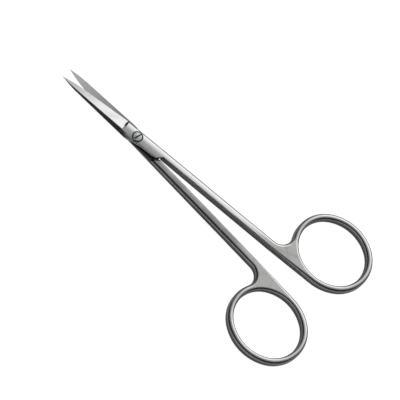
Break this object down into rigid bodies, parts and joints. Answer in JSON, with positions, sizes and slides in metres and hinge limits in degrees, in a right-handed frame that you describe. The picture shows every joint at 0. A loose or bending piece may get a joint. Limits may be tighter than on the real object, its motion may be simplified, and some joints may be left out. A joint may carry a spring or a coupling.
{
  "type": "ophthalmic scissors",
  "caption": "Fine straight steel scissors for eye surgery: slender pointed blades on a slotted pivot screw, long slim shanks and oval finger rings.",
  "frame": {"origin": "on the pivot axis, in the plane where the two halves meet", "axes": "+X along the closed blades from the pivot to the tips, +Z out of the screw's slotted head, +Y towards the rear half's finger ring"},
  "size_m": [0.1136, 0.058, 0.0036],
  "materials": {
    "satin_steel": "satin, with polished edges",
    "screw_steel": "polished"
  },
  "bodies": {
    "rear": {"rear_half": "satin_steel", "pivot_screw": "screw_steel"},
    "front": {"front_half": "satin_steel"}
  },
  "joints": [
    {"name": "blade_pivot", "type": "hinge", "parent": "rear", "child": "front", "pos_m": [0, 0, 0], "axis": [0, 0, 1], "range_deg": [-6.8, 83.2]}
  ]
}
